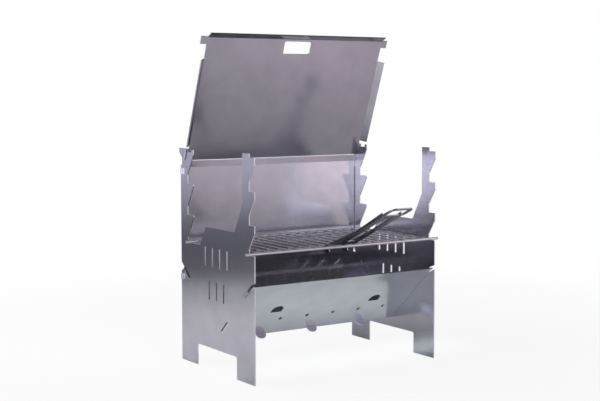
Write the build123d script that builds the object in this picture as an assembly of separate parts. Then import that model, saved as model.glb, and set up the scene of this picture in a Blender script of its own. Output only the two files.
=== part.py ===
from build123d import *
import os
from math import cos, radians, sin, tan

# A plug-together charcoal grill of folded stainless sheet, in millimetres.
# While it is drawn, y runs from the front edge of the side plates to the rear,
# z from the ground up and x from the middle of the grill.

# Sheet and fits
sheet = 2.0
bend_radius = 1.5
ear_clearance = 0.3
seat_gap = 0.3
weld_gap = 0.03
cut_margin = 1.0

# Side plates
inner_width = 396.0
plate_depth = 262.0
leg_width = 60.0
leg_cutout_height = 40.0
leg_corner_radius = 4.0
notch_floor = 225.0
first_ledge_rise = 52.0
ledge_pitch = 58.0
ledge_count = 3
arm_top_rise = 7.0
hump_rise = 36.0
hump_front = 66.0
hump_rear_setback = 94.0
hump_foot_setback = 71.5
front_throat = 17.5
front_arm_rear = 39.0
front_arm_rear_drop = 88.0
front_tooth_face = 13.0
front_tooth_drop = 41.0
rear_arm_width = 25.5
rear_tooth_depth = 22.0
rear_tooth_face = 4.0
rear_tooth_drop = 42.0
nub_width = 6.5
nub_height = 5.0

# Hook at the rear top of each side plate
hook_overhang = 5.5
hook_lip_height = 8.0
hook_neck_top = 18.0
hook_neck_bottom = 31.0
hook_neck_depth = 5.0

# Vent slots in the side plates
vent_width = 4.5
vent_height = 34.5
vent_pitch = 26.0
upper_vent_count = 4
upper_vent_bottom = 189.5
lower_vent_count = 3
lower_vent_bottom = 128.3

# Front sheet of the charcoal tray, measured down its slope from the fold
front_tray_angle = 43.0
front_tray_fold_y = 16.0
front_tray_fold_z = 163.2
front_tray_length = 151.8
tray_lip_angle = 32.6
tray_lip_length = 15.0
upper_ear_start = 2.7
upper_ear_length = 19.2
upper_ear_reach = 2.0
lower_ear_start = 101.0
lower_ear_length = 30.0
lower_ear_reach = 0.0
front_slot_play = 3.2
front_slot_end_gap = 2.0
front_mouth_rise = 7.3
front_mouth_height = 8.0
front_mouth_depth = 10.0
air_hole_diameter = 8.0
air_hole_count = 6
air_hole_pitch = 58.8
air_hole_distance = 103.9
half_moon_radius = 12.0
half_moon_side = 7.0
half_moon_spread = 219.0
half_moon_distance = 80.0

# Rear sheet of the charcoal tray, measured up its slope from the front sheet to a
# distance inside the rear edge of the side plates
rear_tray_angle = 41.2
tab_slot_distance = 145.6
rear_tray_setback = 11.0
tab_count = 3
tab_pitch = 113.0
tab_width = 20.5
tab_reach = 13.0
tab_corner_radius = 9.0
rear_ear_length = 26.0
rear_ear_inset = 0.6
rear_ear_reach = 2.0
rear_slot_end_gap = 3.0
rear_mouth_drop = 5.5

# Back panel
back_panel_gap = 5.0
back_panel_width = 392.0
back_panel_bottom = 146.0
back_fold_drop = 36.4
back_flange_length = 12.3
back_flange_angle = 8.0
back_ear_reach = 4.0
back_ear_height = 11.5
back_upper_ear_drop = 1.0
back_lower_ear_rise = 7.0

# Lid, measured up its face from the level of the arm tops to its fold, and back down
# from the fold to the features near its top
lid_lean = 20.0
lid_setback = 25.2
lid_width = 392.0
lid_bottom = 24.1
lid_fold = 214.9
lid_top_flange_length = 14.0
lid_side_flange_length = 14.0
lid_flange_angle = 45.0
lid_side_flange_start = 5.9
lid_side_flange_drop = 41.0
lid_flange_relief = 1.0
lid_foot_ear_height = 22.0
lid_foot_ear_reach = 2.0
lid_top_ear_drop = 13.0
lid_top_ear_height = 14.5
lid_top_ear_reach = 9.0
hand_hole_width = 59.0
hand_hole_height = 24.5
hand_hole_drop = 29.0
hand_hole_radius = 3.0

# Grate
rail_diameter = 5.0
rail_overhang = 12.0
front_rail_y = 8.0
rear_rail_setback = 40.0
bar_diameter = 3.0
bar_count = 18
bar_pitch = 22.0
bar_cope_overlap = 1.5
cross_rod_diameter = 3.0
cross_rod_inset = 38.0
cross_rod_length = 378.0

# Lifter, measured along its handle from the front rail to the tip of its finger loop
lifter_angle = 25.0
lifter_x = -22.0
lifter_width = 42.0
lifter_length = 208.5
lifter_top = 6.3
lifter_cheek_height = 10.8
lifter_throat_end = 28.0
lifter_waist = 95.0
lifter_waist_drop = 7.5
lifter_end_drop = 4.0
lifter_nose_reach = 14.6
lifter_nose_height = 3.0
lifter_finger_depth = 8.5
lifter_finger_heel = 9.0
lifter_finger_tip = 3.0
lifter_mouth_end = 4.5
lifter_notch_gap = 0.3
lifter_slot_start = 44.0
lifter_slot_width = 15.0
lifter_bridge = 8.0
lifter_loop_length = 38.5
lifter_loop_width = 49.0
lifter_loop_strip = 6.8
lifter_loop_radius = 12.0
lifter_flange_overlap = 6.0

# Places and depths worked out from the sizes above
ledges = [notch_floor + first_ledge_rise + n * ledge_pitch for n in range(ledge_count)]
arm_top = ledges[-1] + arm_top_rise
plate_inside = inner_width / 2
plate_outside = plate_inside + sheet
shoulder = plate_inside - ear_clearance
rear_throat = plate_depth - rear_arm_width
rear_tip = rear_throat - rear_tooth_depth
rail_z = notch_floor + seat_gap + rail_diameter / 2
bar_z = rail_z + (rail_diameter - bar_diameter) / 2
cross_rod_z = bar_z - (bar_diameter + cross_rod_diameter) / 2 - weld_gap
rear_rail_y = plate_depth - rear_rail_setback
back_panel_y = plate_depth - back_panel_gap - sheet
back_panel_fold = arm_top - back_fold_drop
back_lower_ear = back_panel_bottom + back_lower_ear_rise
back_upper_ear = back_panel_fold - back_upper_ear_drop - back_ear_height
lid_face_y = plate_depth - lid_setback
lifter_loop_start = lifter_length - lifter_loop_length
punch_depth = 4 * sheet
fold_room = 3 * sheet


def slope_place(origin_y, origin_z, angle):
    """Plane of a sheet that falls by angle towards the rear, with y down its slope."""
    fall = radians(angle)
    return Plane(origin=(0, origin_y, origin_z), x_dir=(1, 0, 0), z_dir=(0, sin(fall), cos(fall)))


def on_slope(place, distance, lift):
    """Point of the side view at a distance along a sloping sheet and a lift off its face."""
    point = place.from_local_coords((0, distance, lift))
    return point.Y, point.Z


front_tray = slope_place(front_tray_fold_y, front_tray_fold_z, front_tray_angle)
tray_join = front_tray.from_local_coords((0, tab_slot_distance, 0))
rear_tray = slope_place(tray_join.Y, tray_join.Z, -rear_tray_angle)
rear_tray_end = plate_depth - rear_tray_setback
rear_tray_length = (rear_tray_end - tray_join.Y) / cos(radians(rear_tray_angle))
lid_face = slope_place(lid_face_y, arm_top, -90 - lid_lean)


def lid_face_at(height):
    """How far back the front face of the lid lies at a height."""
    return lid_face_y + (arm_top - height) * tan(radians(lid_lean))


def slab(place, left, right, low, high, bottom, top):
    """Block given by its limits in the axes of a place."""
    size = (right - left, high - low, top - bottom)
    centre = ((left + right) / 2, (low + high) / 2, (bottom + top) / 2)
    return place * Pos(*centre) * Box(*size)


def side_prism(points, left, right):
    """Prism across the grill between two x values, from a closed outline of the side view."""
    outline = make_face(Polyline(*points, close=True))
    return Plane.YZ.offset(left) * extrude(outline, right - left)


def folded_outline(points):
    """Side view of a folded sheet that lies to the right of a path along one of its faces."""
    path = FilletPolyline(*points, radius=bend_radius)
    return make_face(offset(path, amount=sheet, side=Side.RIGHT))


def folded_strip(points, left, right):
    """Sheet folded along x, between two x values."""
    return Plane.YZ.offset(left) * extrude(folded_outline(points), right - left)


def spread(count, pitch):
    """Places of count things at a pitch, centred on zero."""
    return [(n - (count - 1) / 2) * pitch for n in range(count)]


def rear_arm_edge():
    """Toothed front edge of the rear arm, from its top down to the notch floor."""
    fork_front = lid_face_at(ledges[-1]) - ear_clearance / cos(radians(lid_lean))
    points = [(fork_front, arm_top), (fork_front, ledges[-1])]
    points += [(rear_tip + nub_width, ledges[-1]), (rear_tip + nub_width, ledges[-1] + nub_height)]
    points += [(rear_tip, ledges[-1] + nub_height)]
    for ledge in reversed(ledges):
        if ledge != ledges[-1]:
            points += [(rear_throat, ledge), (rear_tip, ledge)]
        points += [(rear_tip, ledge - rear_tooth_face), (rear_throat, ledge - rear_tooth_drop)]
    return points + [(rear_throat, notch_floor)]


def front_arm_edge():
    """Toothed front edge of the front arm, from its top down to the notch floor."""
    points = [(front_throat, arm_top)]
    for ledge in reversed(ledges):
        points += [(front_throat, ledge), (0, ledge), (0, ledge - front_tooth_face)]
        points += [(front_throat, ledge - front_tooth_drop)]
    return points + [(front_throat, notch_floor), (0, notch_floor)]


def side_outline():
    """Outer edge of a side plate, with its legs, hump, arms and hook."""
    hump_top = notch_floor + hump_rise
    rear_leg = plate_depth - leg_width
    neck_y = plate_depth - hook_neck_depth
    hook_y = plate_depth + hook_overhang
    feet = [(0, 0), (leg_width, 0), (leg_width, leg_cutout_height)]
    feet += [(rear_leg, leg_cutout_height), (rear_leg, 0), (plate_depth, 0)]
    hook = [(plate_depth, arm_top - hook_neck_bottom), (neck_y, arm_top - hook_neck_bottom)]
    hook += [(neck_y, arm_top - hook_neck_top), (hook_y, arm_top - hook_lip_height)]
    hook += [(hook_y, arm_top)]
    hump = [(plate_depth - hump_foot_setback, notch_floor)]
    hump += [(plate_depth - hump_rear_setback, hump_top), (hump_front, hump_top)]
    hump += [(front_arm_rear, arm_top - front_arm_rear_drop), (front_arm_rear, arm_top)]
    return feet + hook + rear_arm_edge() + hump + front_arm_edge()


def front_tray_slots(left, right):
    """Open upper slot and closed lower slot for the ears of the front tray sheet."""
    upper_end = upper_ear_start + upper_ear_length + front_slot_end_gap
    roof = sheet + front_slot_play
    mouth_low = front_tray_fold_z + front_mouth_rise
    mouth_high = mouth_low + front_mouth_height
    upper = [on_slope(front_tray, upper_end, -ear_clearance), on_slope(front_tray, 0, -ear_clearance)]
    upper += [(-cut_margin, mouth_low), (-cut_margin, mouth_high)]
    upper += [on_slope(front_tray, -front_mouth_depth, roof), on_slope(front_tray, upper_end, roof)]
    low = lower_ear_start - ear_clearance
    high = lower_ear_start + lower_ear_length + ear_clearance
    lower = slab(front_tray, left, right, low, high, -ear_clearance, roof)
    return side_prism(upper, left, right) + lower


def rear_tray_slot(left, right):
    """Slot for the ear of the rear tray sheet, open at the rear edge over a hooked finger."""
    ear_end = rear_tray_length - rear_ear_inset
    inner_end = ear_end - rear_ear_length - rear_slot_end_gap
    floor = -sheet - ear_clearance
    edge = plate_depth + cut_margin
    past_edge = (edge - tray_join.Y) / cos(radians(rear_tray_angle))
    finger_y, finger_z = on_slope(rear_tray, ear_end, floor)
    points = [on_slope(rear_tray, inner_end, floor), (finger_y, finger_z)]
    points += [(edge, finger_z - rear_mouth_drop), on_slope(rear_tray, past_edge, ear_clearance)]
    points += [on_slope(rear_tray, inner_end, ear_clearance)]
    return side_prism(points, left, right)


def back_panel_slots(left, right):
    """Two closed slots for the ears of the back panel."""
    low = back_panel_y - ear_clearance
    high = back_panel_y + sheet + ear_clearance
    slots = []
    for bottom in (back_upper_ear, back_lower_ear):
        top = bottom + back_ear_height + ear_clearance
        slots.append(slab(Plane.XY, left, right, low, high, bottom - ear_clearance, top))
    return slots


def fork_slot(left, right):
    """Leaning slot in the top of the rear arm, for the foot ear of the lid."""
    bottom = -lid_bottom - seat_gap
    return slab(lid_face, left, right, bottom, lid_bottom, -sheet - ear_clearance, ear_clearance)


def vent_slots(left, right):
    """Two rows of upright vent slots."""
    rows = [(upper_vent_count, upper_vent_bottom), (lower_vent_count, lower_vent_bottom)]
    vents = []
    for count, bottom in rows:
        for place in spread(count, vent_pitch):
            y = plate_depth / 2 + place
            block = slab(Plane.XY, left, right, y - vent_width / 2, y + vent_width / 2, bottom,
                         bottom + vent_height)
            vents.append(block)
    return vents


def side_plate(side):
    """Side plate on the side given by -1 or 1."""
    left, right = sorted((side * plate_inside, side * plate_outside))
    plate = side_prism(side_outline(), left, right)
    corners = plate.edges().filter_by(Axis.X).filter_by(
        lambda edge: abs(edge.center().Z - leg_cutout_height) < sheet
    )
    plate = fillet(corners, leg_corner_radius)
    left -= cut_margin
    right += cut_margin
    plate -= front_tray_slots(left, right)
    plate -= rear_tray_slot(left, right)
    plate -= back_panel_slots(left, right)
    plate -= fork_slot(left, right)
    return plate - vent_slots(left, right)


def ear_pair(place, inner, reach, low, high, bottom, top):
    """Two ears that pass through the side plates and stand out of them by reach."""
    tip = plate_outside + reach
    right_ear = slab(place, inner, tip, low, high, bottom, top)
    left_ear = slab(place, -tip, -inner, low, high, bottom, top)
    return [right_ear, left_ear]


def half_moon(x):
    """Cutter for an arched opening with its flat side down the slope."""
    left, right = x - half_moon_radius, x + half_moon_radius
    centre = half_moon_distance - half_moon_side
    depth = punch_depth / 2
    disc = front_tray * Pos(x, centre, 0) * Cylinder(half_moon_radius, punch_depth)
    arch = disc & slab(front_tray, left, right, centre - half_moon_radius, centre, -depth, depth)
    return arch + slab(front_tray, left, right, centre, half_moon_distance, -depth, depth)


def tray_front_sheet():
    """Sloping front of the charcoal tray, with its lip, ears, air holes and tab slots."""
    lip = radians(tray_lip_angle)
    lip_y = front_tray_fold_y - tray_lip_length * cos(lip)
    lip_z = front_tray_fold_z + tray_lip_length * sin(lip)
    foot = on_slope(front_tray, front_tray_length, 0)
    fold = (front_tray_fold_y, front_tray_fold_z)
    body = folded_strip([foot, fold, (lip_y, lip_z)], -shoulder, shoulder)
    inner = shoulder - cut_margin
    upper_end = upper_ear_start + upper_ear_length
    lower_end = lower_ear_start + lower_ear_length
    body += ear_pair(front_tray, inner, upper_ear_reach, upper_ear_start, upper_end, 0, sheet)
    body += ear_pair(front_tray, inner, lower_ear_reach, lower_ear_start, lower_end, 0, sheet)
    for x in spread(air_hole_count, air_hole_pitch):
        hole = Cylinder(air_hole_diameter / 2, punch_depth)
        body -= front_tray * Pos(x, air_hole_distance, 0) * hole
    for x in (-half_moon_spread / 2, half_moon_spread / 2):
        body -= half_moon(x)
    half_slot = tab_width / 2 + ear_clearance
    for x in spread(tab_count, tab_pitch):
        left, right = x - half_slot, x + half_slot
        body -= slab(rear_tray, left, right, -punch_depth, punch_depth, -sheet - ear_clearance,
                     ear_clearance)
    return body


def tray_rear_sheet():
    """Sloping rear of the charcoal tray, with ears and tabs through the front sheet."""
    join = radians(front_tray_angle + rear_tray_angle)
    start = (sheet + seat_gap + sheet * abs(cos(join))) / sin(join)
    body = slab(rear_tray, -shoulder, shoulder, start, rear_tray_length, -sheet, 0)
    ear_end = rear_tray_length - rear_ear_inset
    inner = shoulder - cut_margin
    body += ear_pair(rear_tray, inner, rear_ear_reach, ear_end - rear_ear_length, ear_end, -sheet, 0)
    for x in spread(tab_count, tab_pitch):
        left, right = x - tab_width / 2, x + tab_width / 2
        tab = slab(rear_tray, left, right, -tab_reach, start + sheet, -sheet, 0)
        tip = rear_tray.from_local_coords((x, -tab_reach, 0))
        corners = tab.edges().filter_by(
            lambda edge: abs(edge.length - sheet) < 0.01 * sheet
        ).sort_by_distance(tip)[:2]
        body += fillet(corners, tab_corner_radius)
    return body


def back_panel():
    """Upright wind guard behind the grate, with a flange folded forward at its top."""
    lean = radians(back_flange_angle)
    edge = (back_panel_y - back_flange_length * sin(lean), back_panel_fold + back_flange_length * cos(lean))
    path = [(back_panel_y, back_panel_bottom), (back_panel_y, back_panel_fold), edge]
    half = back_panel_width / 2
    body = folded_strip(path, -half, half)
    rear = back_panel_y + sheet
    inner = half - cut_margin
    for bottom in (back_upper_ear, back_lower_ear):
        top = bottom + back_ear_height
        body += ear_pair(Plane.XY, inner, back_ear_reach, back_panel_y, rear, bottom, top)
    return body


def lid():
    """Leaning lid with flared side flanges, a top flange, ears and a hand hole."""
    flare = radians(lid_flange_angle)
    half = lid_width / 2
    core = half - fold_room
    side_view = [(-lid_bottom, 0), (lid_fold, 0)]
    side_view += [(lid_fold + lid_top_flange_length * cos(flare), lid_top_flange_length * sin(flare))]
    upright = folded_outline(side_view)
    across = Plane(origin=lid_face.origin, x_dir=lid_face.y_dir, z_dir=lid_face.x_dir)
    body = across.offset(-core) * extrude(upright, 2 * core)
    wide = across.offset(-half) * extrude(upright, 2 * half)
    side_flange_end = lid_fold - lid_side_flange_drop
    top_end = side_flange_end + lid_flange_relief
    body += wide & slab(lid_face, -half, half, top_end, 2 * lid_fold, -half, half)
    body += slab(lid_face, -half, half, -lid_bottom, lid_side_flange_start - lid_flange_relief,
                 -sheet, 0)
    reach = half + lid_side_flange_length * cos(flare)
    rise = lid_side_flange_length * sin(flare)
    cross_view = [(-reach, rise), (-half, 0), (half, 0), (reach, rise)]
    along = Plane(origin=lid_face.origin, x_dir=lid_face.x_dir, z_dir=-lid_face.y_dir)
    flange_length = side_flange_end - lid_side_flange_start
    body += along.offset(-side_flange_end) * extrude(folded_outline(cross_view), flange_length)
    inner = half - cut_margin
    foot_top = lid_foot_ear_height - lid_bottom
    body += ear_pair(lid_face, inner, lid_foot_ear_reach, -lid_bottom, foot_top, -sheet, 0)
    ear_start = lid_fold - lid_top_ear_drop
    ear_top = ear_start + lid_top_ear_height
    body += ear_pair(lid_face, inner, lid_top_ear_reach, ear_start, ear_top, -sheet, 0)
    hole = extrude(RectangleRounded(hand_hole_width, hand_hole_height, hand_hole_radius),
                   punch_depth / 2, both=True)
    hole_centre = lid_fold - hand_hole_drop + hand_hole_height / 2
    return body - lid_face * Pos(0, hole_centre, 0) * hole


def rail(y):
    """Cross rail of the grate that rests on the side plates."""
    length = 2 * (plate_outside + rail_overhang)
    return Pos(0, y, rail_z) * Rot(0, 90, 0) * Cylinder(rail_diameter / 2, length)


def grate_bar(x):
    """Bar from rail to rail, coped to fit against both."""
    start = front_rail_y + bar_cope_overlap
    end = rear_rail_y - bar_cope_overlap
    bar = Pos(x, (start + end) / 2, bar_z) * Rot(90, 0, 0) * Cylinder(bar_diameter / 2, end - start)
    return bar - rail(front_rail_y) - rail(rear_rail_y)


def cross_rod(y):
    """Rod welded across the undersides of the bars."""
    return Pos(0, y, cross_rod_z) * Rot(0, 90, 0) * Cylinder(cross_rod_diameter / 2, cross_rod_length)


def lifter_cheek(x):
    """Upright side of the lifter: a hook around the rail, then a waisted flange along the handle."""
    tilt = radians(lifter_angle)
    notch = rail_diameter / 2 + lifter_notch_gap
    base = lifter_top - lifter_cheek_height
    end = lifter_loop_start + lifter_flange_overlap
    points = [(end, base), (end, lifter_top - lifter_end_drop)]
    points += [(lifter_waist, lifter_top - lifter_waist_drop), (0, lifter_top)]
    points += [(-lifter_nose_reach, lifter_top), (-lifter_nose_reach, lifter_top - lifter_nose_height)]
    points += [(-lifter_finger_heel, -lifter_finger_depth), (lifter_finger_tip, -lifter_finger_depth)]
    points += [(lifter_finger_tip, -notch), (0, -notch), (0, notch), (lifter_mouth_end, notch)]
    points += [(lifter_throat_end, base)]
    place = Plane(origin=(x, front_rail_y, rail_z), x_dir=(0, -cos(tilt), sin(tilt)),
                  z_dir=(-1, 0, 0))
    outline = make_face(Polyline(*points, close=True))
    bore = Pos(x, front_rail_y, rail_z) * Rot(0, 90, 0) * Cylinder(notch, punch_depth)
    return place * extrude(outline, sheet / 2, both=True) - bore


def loop_plate(inset):
    """Rounded plate in the outline of the finger loop, smaller all round by an inset."""
    start = lifter_loop_start + inset
    end = lifter_length - inset
    flat = RectangleRounded(lifter_loop_width - 2 * inset, end - start, lifter_loop_radius - inset)
    return Pos(0, (start + end) / 2, 0) * extrude(flat, sheet)


def lifter():
    """Folded hand tool that hooks on to the front rail to lift the grate."""
    tilt = radians(lifter_angle)
    place = Plane(origin=(lifter_x, front_rail_y, rail_z), x_dir=(-1, 0, 0),
                  z_dir=(0, sin(tilt), cos(tilt))).offset(lifter_top - lifter_cheek_height)
    half = lifter_width / 2
    slot = lifter_slot_width / 2
    slot_end = lifter_loop_start - lifter_bridge
    web = slab(Plane.XY, -half, half, lifter_throat_end, lifter_loop_start + lifter_loop_radius, 0, sheet)
    web -= slab(Plane.XY, -slot, slot, lifter_slot_start, slot_end, 0, sheet)
    body = place * (web + loop_plate(0) - loop_plate(lifter_loop_strip))
    cheek_x = half - sheet / 2
    return body + lifter_cheek(lifter_x - cheek_x) + lifter_cheek(lifter_x + cheek_x)


def all_parts():
    """Every piece of the grill by its name."""
    parts = {"left_side_plate": side_plate(-1), "right_side_plate": side_plate(1)}
    parts["tray_front_sheet"] = tray_front_sheet()
    parts["tray_rear_sheet"] = tray_rear_sheet()
    parts["back_panel"] = back_panel()
    parts["lid"] = lid()
    parts["grate_front_rail"] = rail(front_rail_y)
    parts["grate_rear_rail"] = rail(rear_rail_y)
    for number, x in enumerate(spread(bar_count, bar_pitch), 1):
        parts[f"grate_bar_{number:02d}"] = grate_bar(x)
    parts["grate_front_cross_rod"] = cross_rod(front_rail_y + cross_rod_inset)
    parts["grate_rear_cross_rod"] = cross_rod(rear_rail_y - cross_rod_inset)
    parts["lifter"] = lifter()
    return parts


# The origin of the finished model is on the ground, under the middle of the whole
grill = all_parts()
extent = Compound(children=[Part(piece.wrapped) for piece in grill.values()]).bounding_box()
shift = Vector(-extent.center().X, -extent.center().Y, -extent.min.Z)
print("origin shift", shift)
os.makedirs("parts", exist_ok=True)
for name, piece in grill.items():
    export_step(Pos(*shift) * piece, f"parts/{name}.step")
    print(name, round(piece.volume))
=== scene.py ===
import bpy
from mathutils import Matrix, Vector


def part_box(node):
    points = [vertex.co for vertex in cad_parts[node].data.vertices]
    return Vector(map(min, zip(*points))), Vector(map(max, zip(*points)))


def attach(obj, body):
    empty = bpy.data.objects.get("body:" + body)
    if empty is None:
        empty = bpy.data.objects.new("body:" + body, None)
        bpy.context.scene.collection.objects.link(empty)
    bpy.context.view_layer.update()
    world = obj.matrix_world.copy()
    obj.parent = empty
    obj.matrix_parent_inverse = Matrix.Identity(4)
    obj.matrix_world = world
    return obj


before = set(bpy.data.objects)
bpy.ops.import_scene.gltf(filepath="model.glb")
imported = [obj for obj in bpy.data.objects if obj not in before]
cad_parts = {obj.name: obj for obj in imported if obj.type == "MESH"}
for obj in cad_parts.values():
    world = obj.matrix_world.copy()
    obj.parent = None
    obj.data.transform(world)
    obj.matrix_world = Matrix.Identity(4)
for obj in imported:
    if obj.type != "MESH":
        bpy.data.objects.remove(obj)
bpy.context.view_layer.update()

# A plug-together charcoal grill of folded stainless sheet. Metres throughout, except where a
# value says mm.
mmPerMetre = 1000
scene = bpy.context.scene
scene.view_settings.view_transform = "Standard"
print("frame loaded:", len(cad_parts), "nodes")


def hexColour(text):
    # sRGB hex to the linear values that Blender's sockets take, by the sRGB standard's formula
    parts = [int(text[n:n + 2], 16) / 255 for n in (1, 3, 5)]
    linear = [c / 12.92 if c <= 0.04045 else ((c + 0.055) / 1.055) ** 2.4 for c in parts]
    return (*linear, 1.0)


def addNode(tree, kind, inputs=None, **settings):
    # inputs maps a socket's name or number to a value, or to the output that feeds it
    node = tree.nodes.new(kind)
    for name, value in settings.items():
        setattr(node, name, value)
    for name, value in (inputs or {}).items():
        if isinstance(value, bpy.types.NodeSocket):
            tree.links.new(value, node.inputs[name])
        else:
            node.inputs[name].default_value = value
    return node


def newMaterial(name):
    material = bpy.data.materials.new(name)
    material.use_nodes = True
    material.node_tree.nodes.clear()
    return material, material.node_tree


def deselectAll():
    for item in bpy.context.selected_objects:
        item.select_set(False)


# Camera: off the grill's left front corner, a little lower than the lid's top edge
camera = {
    "place": (-1.2757, -1.7944, 0.5113),
    "aim": (0.5527, 0.8283, -0.0921),  # the way it looks
    "lens": 72.98,  # mm
    "sensor": 36.0,  # mm wide
}
lensData = bpy.data.cameras.new("camera")
lensData.sensor_width = camera["sensor"]
lensData.lens = camera["lens"]
cameraObject = bpy.data.objects.new("camera", lensData)
scene.collection.objects.link(cameraObject)
cameraObject.location = camera["place"]
cameraObject.rotation_euler = Vector(camera["aim"]).to_track_quat("-Z", "Y").to_euler()
scene.camera = cameraObject

# White surround: plain white where it is seen or mirrored, softer as a light
surround = {
    "colour": "#FFFFFF",
    "light": 0.24,
    "seen": 1.0,
}
world = bpy.data.worlds.new("whiteSurround")
scene.world = world
world.use_nodes = True
tree = world.node_tree
tree.nodes.clear()
rays = addNode(tree, "ShaderNodeLightPath")
seen = addNode(tree, "ShaderNodeMath", {0: rays.outputs["Is Camera Ray"],
                                        1: rays.outputs["Is Glossy Ray"]}, operation="MAXIMUM")
seen = addNode(tree, "ShaderNodeMath", {0: seen.outputs[0],
                                        1: rays.outputs["Is Transmission Ray"]},
               operation="MAXIMUM")
lit = addNode(tree, "ShaderNodeBackground", {"Color": hexColour(surround["colour"]),
                                             "Strength": surround["light"]})
shown = addNode(tree, "ShaderNodeBackground", {"Color": hexColour(surround["colour"]),
                                               "Strength": surround["seen"]})
either = addNode(tree, "ShaderNodeMixShader", {0: seen.outputs[0], 1: lit.outputs[0],
                                               2: shown.outputs[0]})
addNode(tree, "ShaderNodeOutputWorld", {"Surface": either.outputs[0]})

# Lamps: each one shines straight down on a stretch of floor that some sheet of the grill mirrors.
# Neither the camera nor the steel sees the lamp itself.
lamps = {
    "rearLeftLamp": {"place": (-0.40, 0.32, 0.70), "wide": 0.6, "high": 0.6,
                     "watts": 3.9, "colour": "#FFFFFF"},  # seen in the left plate
    "frontLeftLamp": {"place": (-0.35, -1.00, 0.40), "wide": 0.3, "high": 0.3,
                      "watts": 2.5, "colour": "#FFFFFF"},  # seen in the back panel
    "frontRightLamp": {"place": (0.72, -0.75, 0.55), "wide": 0.4, "high": 0.4,
                       "watts": 1.8, "colour": "#FFE6F4"},  # seen in the lid
    "underTrayLamp": {"place": (0.06, 0.045, 0.045), "wide": 0.5, "high": 0.10,
                      "watts": 0.125, "colour": "#F0FFF4"},  # seen in the tray's front sheet
}
for name, lamp in lamps.items():
    light = bpy.data.lights.new(name, "AREA")
    light.shape = "RECTANGLE"
    light.size = lamp["wide"]
    light.size_y = lamp["high"]
    light.energy = lamp["watts"]
    light.color = hexColour(lamp["colour"])[:3]
    holder = bpy.data.objects.new(name, light)
    scene.collection.objects.link(holder)
    holder.location = lamp["place"]
    holder.visible_camera = False
    holder.visible_glossy = False

# Matt white paper floor: it fades into the white surround away from the grill
floorPaper = {
    "size": 14.0,
    "colour": "#F2F2F4",
    "mattness": 0.5,
    "glowColour": "#FFFFFF",
    "glow": 1.0,
    "nearGlow": 0.90,  # share of plain white that the camera sees near the grill
    "farGlow": 1.0,
    "fadeStart": 0.35,  # m from the middle
    "fadeEnd": 1.5,
}
paper, tree = newMaterial("mattWhitePaper")
rays = addNode(tree, "ShaderNodeLightPath")
coords = addNode(tree, "ShaderNodeTexCoord")
away = addNode(tree, "ShaderNodeVectorMath", {0: coords.outputs["Object"]}, operation="LENGTH")
fade = addNode(tree, "ShaderNodeMapRange", {"Value": away.outputs["Value"],
                                            "From Min": floorPaper["fadeStart"],
                                            "From Max": floorPaper["fadeEnd"],
                                            "To Min": floorPaper["nearGlow"],
                                            "To Max": floorPaper["farGlow"]},
               interpolation_type="SMOOTHSTEP")
matt = addNode(tree, "ShaderNodeBsdfDiffuse", {"Color": hexColour(floorPaper["colour"]),
                                               "Roughness": floorPaper["mattness"]})
glow = addNode(tree, "ShaderNodeEmission", {"Color": hexColour(floorPaper["glowColour"]),
                                            "Strength": floorPaper["glow"]})
share = addNode(tree, "ShaderNodeMath", {0: rays.outputs["Is Camera Ray"], 1: fade.outputs[0]},
                operation="MULTIPLY")
either = addNode(tree, "ShaderNodeMixShader", {0: share.outputs[0], 1: matt.outputs[0],
                                               2: glow.outputs[0]})
addNode(tree, "ShaderNodeOutputMaterial", {"Surface": either.outputs[0]})

deselectAll()
bpy.ops.mesh.primitive_plane_add(size=floorPaper["size"], location=(0, 0, 0))
floor = bpy.context.object
floor.name = "paperFloor"
floor.data.materials.append(paper)

# Glowing studio cards that only the steel mirrors. The tray's inside mirrors a dark ceiling, the
# left plate a wall at the rear left that is dark at its foot, the right plate and the panel beside
# it a bright one at the front left, and the back panel a large one at the front right. Each card's
# strength goes from lowTone to highTone between riseStart and riseEnd, in metres along the axis
# riseAlong (0 is x, 2 is z).
cards = {
    "ceilingCard": {
        "middle": (0.0, 0.0, 2.4), "facing": (0, 0, -1), "wide": 6.0, "high": 6.0,
        "colour": "#FFFFFF", "lowTone": 0.06, "highTone": 0.06,
        "riseStart": 0.0, "riseEnd": 1.0, "riseAlong": 2,
    },
    "rearLeftCard": {
        "middle": (-1.21, 0.68, 0.75), "facing": (0.553, -0.828, 0), "wide": 1.66, "high": 1.5,
        "colour": "#EEEEFF", "lowTone": 0.16, "highTone": 0.74,
        "riseStart": 0.10, "riseEnd": 0.32, "riseAlong": 2,
    },
    "frontLeftCard": {
        "middle": (-0.72, -0.68, 0.36), "facing": (0.553, 0.828, 0), "wide": 1.2, "high": 0.7,
        "colour": "#FAFAFF", "lowTone": 2.9, "highTone": 1.5,
        "riseStart": -0.75, "riseEnd": -0.45, "riseAlong": 0,
    },
    "frontRightCard": {
        "middle": (1.65, -2.2, 0.8), "facing": (-0.553, 0.828, 0), "wide": 2.4, "high": 1.6,
        "colour": "#FFF4FC", "lowTone": 0.66, "highTone": 1.5,
        "riseStart": 1.4, "riseEnd": 2.0, "riseAlong": 0,
    },
}
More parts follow.
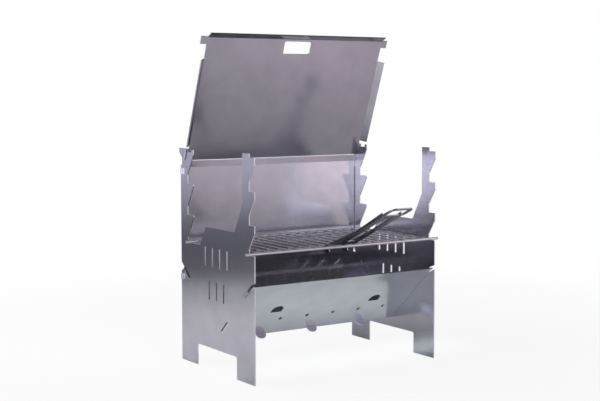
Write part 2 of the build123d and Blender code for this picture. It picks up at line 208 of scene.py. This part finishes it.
for name, card in cards.items():
    deselectAll()
    way = Vector(card["facing"]).to_track_quat("Z", "Y").to_euler()
    bpy.ops.mesh.primitive_plane_add(size=1.0, location=card["middle"], rotation=way)
    wall = bpy.context.object
    wall.name = name
    wall.scale = (card["wide"], card["high"], 1.0)
    bpy.ops.object.transform_apply(location=True, rotation=True, scale=True)
    tone, tree = newMaterial(name + "Paper")
    coords = addNode(tree, "ShaderNodeTexCoord")
    along = addNode(tree, "ShaderNodeSeparateXYZ", {0: coords.outputs["Object"]})
    rise = addNode(tree, "ShaderNodeMapRange", {"Value": along.outputs[card["riseAlong"]],
                                                "From Min": card["riseStart"],
                                                "From Max": card["riseEnd"],
                                                "To Min": card["lowTone"],
                                                "To Max": card["highTone"]},
                   interpolation_type="SMOOTHSTEP")
    shade = addNode(tree, "ShaderNodeEmission", {"Color": hexColour(card["colour"]),
                                                 "Strength": rise.outputs[0]})
    addNode(tree, "ShaderNodeOutputMaterial", {"Surface": shade.outputs[0]})
    wall.data.materials.append(tone)
    wall.visible_camera = False
    wall.visible_diffuse = False
    wall.visible_shadow = False
print("studio ready:", len(lamps), "lamps,", len(cards), "cards")


# Cold-rolled stainless sheet: a soft, slightly cool mirror that the rolls leave faint lines and a
# little waviness in, with matter edges where a laser cut it, painted near-white as a highlight.
# Sizes and depths in mm.
rolledSheet = {
    "colour": "#C5C4CD",
    "dullColour": "#BCBBC5",
    "roughness": 0.17,
    "roughnessSpread": 0.03,
    "roughFrom": 0.3,  # the smudge pattern's values between which the roughness goes up
    "roughTo": 0.7,
    "rollLineWidth": 2.4,  # real ones are far finer and would not show
    "rollLineLength": 90.0,
    "rollLineDepth": 0.005,
    "waveLength": 75.0,
    "waveDepth": 0.04,
    "smudgeSize": 38.0,
    "smudgeFrom": 0.35,  # the smudge pattern's values between which the colour turns dull
    "smudgeTo": 0.65,
    # painted highlight: the cut edges' near-white colour stands in for the light they catch
    "cutEdgeHighlightColour": "#F8F8FC",
    "cutRoughness": 0.30,
    "cutLineWidth": 0.6,
    "cutLineDepth": 0.03,
    "endFacing": 0.9,  # a face is a cut end when its normal's part along the axis is over this
    "sideFacing": 0.5,  # and a flat plate's cut edge when that part is under this
}

# The tray's rear sheet is smoother and flatter, so it mirrors the grate's bars
traySheet = dict(rolledSheet, roughness=0.11, waveDepth=0.02)

# The lifter gets a darker colour than the other sheets
toolSheet = dict(rolledSheet, colour="#8E8C93", dullColour="#8E8C93")


def steelSheet(name, grainAxis, cutAxis, cutWhenAlong, look):
    # grainAxis: 0, 1 or 2 for x, y or z, the way the sheet was rolled
    # cutAxis: the axis whose part of the normal tells cut edges from faces. With cutWhenAlong the
    # edges are what faces along it; without, they are what doesn't.
    material, tree = newMaterial(name)
    coords = addNode(tree, "ShaderNodeTexCoord")
    place = coords.outputs["Object"]
    lineSize = [look["rollLineWidth"]] * 3
    lineSize[grainAxis] = look["rollLineLength"]
    stretched = addNode(tree, "ShaderNodeMapping", {"Vector": place,
                                                    "Scale": [mmPerMetre / s for s in lineSize]})
    rollLines = addNode(tree, "ShaderNodeTexNoise", {"Vector": stretched.outputs[0], "Scale": 1.0,
                                                     "Detail": 2.0, "Roughness": 0.6})
    waves = addNode(tree, "ShaderNodeTexNoise", {"Vector": place,
                                                 "Scale": mmPerMetre / look["waveLength"],
                                                 "Detail": 1.0, "Roughness": 0.4})
    smudges = addNode(tree, "ShaderNodeTexNoise", {"Vector": place,
                                                   "Scale": mmPerMetre / look["smudgeSize"],
                                                   "Detail": 4.0, "Roughness": 0.6})
    cutSize = [look["cutLineWidth"]] * 3
    cutPlace = addNode(tree, "ShaderNodeMapping", {"Vector": place,
                                                   "Scale": [mmPerMetre / s for s in cutSize]})
    cutLines = addNode(tree, "ShaderNodeTexNoise", {"Vector": cutPlace.outputs[0], "Scale": 1.0,
                                                    "Detail": 1.0, "Roughness": 0.5})
    facing = addNode(tree, "ShaderNodeSeparateXYZ", {0: coords.outputs["Normal"]})
    along = addNode(tree, "ShaderNodeMath", {0: facing.outputs[cutAxis]}, operation="ABSOLUTE")
    kind = "GREATER_THAN" if cutWhenAlong else "LESS_THAN"
    limit = look["endFacing"] if cutWhenAlong else look["sideFacing"]
    edge = addNode(tree, "ShaderNodeMath", {0: along.outputs[0], 1: limit}, operation=kind)
    cut = edge.outputs[0]

    tone = addNode(tree, "ShaderNodeMapRange", {"Value": smudges.outputs["Fac"],
                                                "From Min": look["smudgeFrom"],
                                                "From Max": look["smudgeTo"],
                                                "To Min": 0.0, "To Max": 1.0})
    faceColour = addNode(tree, "ShaderNodeMix", {0: tone.outputs[0], 6: hexColour(look["colour"]),
                                                 7: hexColour(look["dullColour"])},
                         data_type="RGBA")
    # the cut edges take the near-white cut colour, a painted highlight
    colour = addNode(tree, "ShaderNodeMix", {0: cut, 6: faceColour.outputs[2],
                                             7: hexColour(look["cutEdgeHighlightColour"])}, data_type="RGBA")
    low = look["roughness"] - look["roughnessSpread"] / 2
    high = look["roughness"] + look["roughnessSpread"] / 2
    faceRough = addNode(tree, "ShaderNodeMapRange", {"Value": smudges.outputs["Fac"],
                                                     "From Min": look["roughFrom"],
                                                     "From Max": look["roughTo"],
                                                     "To Min": low, "To Max": high})
    rough = addNode(tree, "ShaderNodeMix", {0: cut, 2: faceRough.outputs[0],
                                            3: look["cutRoughness"]}, data_type="FLOAT")
    relief = addNode(tree, "ShaderNodeMix", {0: cut, 2: rollLines.outputs["Fac"],
                                             3: cutLines.outputs["Fac"]}, data_type="FLOAT")
    depth = addNode(tree, "ShaderNodeMix", {0: cut, 2: look["rollLineDepth"] / mmPerMetre,
                                            3: look["cutLineDepth"] / mmPerMetre},
                    data_type="FLOAT")
    waveBump = addNode(tree, "ShaderNodeBump", {"Height": waves.outputs["Fac"], "Strength": 1.0,
                                                "Distance": look["waveDepth"] / mmPerMetre})
    lineBump = addNode(tree, "ShaderNodeBump", {"Height": relief.outputs[0], "Strength": 1.0,
                                                "Distance": depth.outputs[0],
                                                "Normal": waveBump.outputs[0]})
    steel = addNode(tree, "ShaderNodeBsdfPrincipled", {"Base Color": colour.outputs[2],
                                                       "Metallic": 1.0,
                                                       "Roughness": rough.outputs[0],
                                                       "Normal": lineBump.outputs[0]})
    addNode(tree, "ShaderNodeOutputMaterial", {"Surface": steel.outputs[0]})
    return material


# Drawn stainless wire: smooth and grey, with duller patches and fine lines along it that the die
# leaves, so it glints in a broken line. Sizes and depths in mm.
drawnWire = {
    "colour": "#BEBAC2",
    "dullColour": "#A6A2AA",
    "roughness": 0.22,
    "smoother": 0.05,  # how far the roughness goes down and up over the dull patches
    "rougher": 0.08,
    "roughFrom": 0.3,  # the patch pattern's values between which it does so
    "roughTo": 0.7,
    "lineWidth": 0.5,  # real ones are finer and would not show
    "lineLength": 40.0,
    "lineDepth": 0.01,
    "dullSize": 14.0,
}

# The two rails are thicker wire, matter than the bars, and paler: their pale colour is a painted
# highlight
railWireWithPaintedHighlight = dict(drawnWire, colour="#F2F0F5", dullColour="#E2E0E8", roughness=0.34)


def steelWire(name, wireAxis, look):
    # wireAxis: 0, 1 or 2 for x, y or z, the way the wire runs
    material, tree = newMaterial(name)
    coords = addNode(tree, "ShaderNodeTexCoord")
    place = coords.outputs["Object"]
    lineSize = [look["lineWidth"]] * 3
    lineSize[wireAxis] = look["lineLength"]
    stretched = addNode(tree, "ShaderNodeMapping", {"Vector": place,
                                                    "Scale": [mmPerMetre / s for s in lineSize]})
    drawLines = addNode(tree, "ShaderNodeTexNoise", {"Vector": stretched.outputs[0], "Scale": 1.0,
                                                     "Detail": 1.0, "Roughness": 0.5})
    patches = addNode(tree, "ShaderNodeTexNoise", {"Vector": place,
                                                   "Scale": mmPerMetre / look["dullSize"],
                                                   "Detail": 3.0, "Roughness": 0.6})
    colour = addNode(tree, "ShaderNodeMix", {0: patches.outputs["Fac"],
                                             6: hexColour(look["colour"]),
                                             7: hexColour(look["dullColour"])}, data_type="RGBA")
    rough = addNode(tree, "ShaderNodeMapRange", {"Value": patches.outputs["Fac"],
                                                 "From Min": look["roughFrom"],
                                                 "From Max": look["roughTo"],
                                                 "To Min": look["roughness"] - look["smoother"],
                                                 "To Max": look["roughness"] + look["rougher"]})
    bump = addNode(tree, "ShaderNodeBump", {"Height": drawLines.outputs["Fac"], "Strength": 1.0,
                                            "Distance": look["lineDepth"] / mmPerMetre})
    steel = addNode(tree, "ShaderNodeBsdfPrincipled", {"Base Color": colour.outputs[2],
                                                       "Metallic": 1.0,
                                                       "Roughness": rough.outputs[0],
                                                       "Normal": bump.outputs[0]})
    addNode(tree, "ShaderNodeOutputMaterial", {"Surface": steel.outputs[0]})
    return material


def dress(node, material):
    # puts the material in the CAD node's slots and leaves its mesh alone
    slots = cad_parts[node].material_slots
    if not slots:
        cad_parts[node].data.materials.append(material)
    for slot in slots:
        slot.material = material


plateSteel = steelSheet("coldRolledStainlessPlate", 2, 0, False, rolledSheet)
foldedSteel = steelSheet("coldRolledStainlessFolded", 0, 0, True, rolledSheet)
traySteel = steelSheet("coldRolledStainlessTray", 0, 0, True, traySheet)
lidSteel = steelSheet("coldRolledStainlessLid", 2, 0, True, rolledSheet)
wireAcross = steelWire("drawnStainlessAcross", 0, drawnWire)
# the rails' pale colour paints in the highlight line along them
railSteelWithPaintedHighlight = steelWire("drawnStainlessRailWithPaintedHighlight", 0, railWireWithPaintedHighlight)
wireAlong = steelWire("drawnStainlessAlong", 1, drawnWire)
toolSteel = steelSheet("coldRolledStainlessTool", 1, 1, True, toolSheet)

for node in ("left_side_plate", "right_side_plate"):
    dress(node, plateSteel)
for node in ("tray_front_sheet", "back_panel"):
    dress(node, foldedSteel)
dress("tray_rear_sheet", traySteel)
dress("lid", lidSteel)
dress("lifter", toolSteel)
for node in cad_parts:
    if node.startswith("grate_bar"):
        dress(node, wireAlong)
    elif node.endswith("_rail"):
        dress(node, railSteelWithPaintedHighlight)
    elif node.startswith("grate_"):
        dress(node, wireAcross)
print("steel on:", len(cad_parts), "nodes")

# Resistance-welded stainless: small matt beads, slightly straw-tinted by the weld's heat, that
# catch the light as dots along the rails and rods. Sizes and depths in mm.
weldNugget = {
    "colour": "#D6D0CC",
    "dullColour": "#A8A3A6",
    "roughness": 0.34,
    "smoother": 0.05,
    "rougher": 0.08,
    "roughFrom": 0.3,
    "roughTo": 0.7,
    "lineWidth": 0.8,  # as long as wide: melted metal has no drawing lines
    "lineLength": 0.8,
    "lineDepth": 0.02,
    "dullSize": 3.0,
}
nugget = {
    "across": 4.6,  # mm, wider than a 3 mm bar
    "flat": 2.0,
    "domeShare": 0.45,  # how much of the round top the electrode presses flat
    "rim": 0.46,  # mm, round the pressed face
    "segments": 8,
    "rings": 6,
}
weldSteel = steelWire("resistanceWeldedStainless", 0, weldNugget)


def nuggetAt(place, flatAxis):
    # flatAxis: the axis along which the nugget is squeezed between the wires
    deselectAll()
    radius = nugget["across"] / 2 / mmPerMetre
    bpy.ops.mesh.primitive_uv_sphere_add(segments=nugget["segments"], ring_count=nugget["rings"],
                                         radius=radius, location=place)
    bead = bpy.context.object
    squeeze = [1.0, 1.0, 1.0]
    squeeze[flatAxis] = nugget["flat"] / nugget["across"]
    bpy.ops.object.mode_set(mode="EDIT")
    bpy.ops.mesh.select_all(action="SELECT")
    top = Vector(place) + Vector((0, 0, radius * (1 - nugget["domeShare"])))
    bpy.ops.mesh.bisect(plane_co=top, plane_no=(0, 0, 1), use_fill=True, clear_outer=True)
    bpy.ops.mesh.inset(thickness=nugget["rim"] / mmPerMetre)
    bpy.ops.mesh.select_all(action="SELECT")
    bpy.ops.transform.resize(value=squeeze, center_override=place)
    bpy.ops.object.mode_set(mode="OBJECT")
    return bead


def weldRow(name, node, flatAxis, placeAt):
    # one nugget where each bar meets the node, all joined to one piece
    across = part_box(node)
    beads = []
    for bar in sorted(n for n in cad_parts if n.startswith("grate_bar")):
        beads.append(nuggetAt(placeAt(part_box(bar), across), flatAxis))
    deselectAll()
    for bead in beads:
        bead.select_set(True)
    bpy.context.view_layer.objects.active = beads[0]
    bpy.ops.object.join()
    row = bpy.context.object
    row.name = name
    bpy.ops.object.transform_apply(location=True, rotation=True, scale=True)
    bpy.ops.object.mode_set(mode="EDIT")
    bpy.ops.mesh.select_all(action="SELECT")
    bpy.ops.mesh.normals_make_consistent(inside=False)
    bpy.ops.object.mode_set(mode="OBJECT")
    row.data.materials.append(weldSteel)
    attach(row, "grate")


def middle(box, axis):
    return (box[0][axis] + box[1][axis]) / 2


def behindRail(bar, rail):
    # on the rear side of the front rail
    return middle(bar, 0), rail[1][1], middle(bar, 2)


def beforeRail(bar, rail):
    # on the front side of the rear rail
    return middle(bar, 0), rail[0][1], middle(bar, 2)


def onRod(bar, rod):
    # between the rod's top and the bar above it
    return middle(bar, 0), middle(rod, 1), rod[1][2]


# Each row: the rail or rod, the axis the nuggets are flat along, and where a bar meets it
weldRows = {
    "frontRailWelds": ("grate_front_rail", 1, behindRail),
    "rearRailWelds": ("grate_rear_rail", 1, beforeRail),
    "frontRodWelds": ("grate_front_cross_rod", 2, onRod),
    "rearRodWelds": ("grate_rear_cross_rod", 2, onRod),
}
for name, (node, flatAxis, placeAt) in weldRows.items():
    weldRow(name, node, flatAxis, placeAt)
print("welds on:", len(weldRows), "rows")
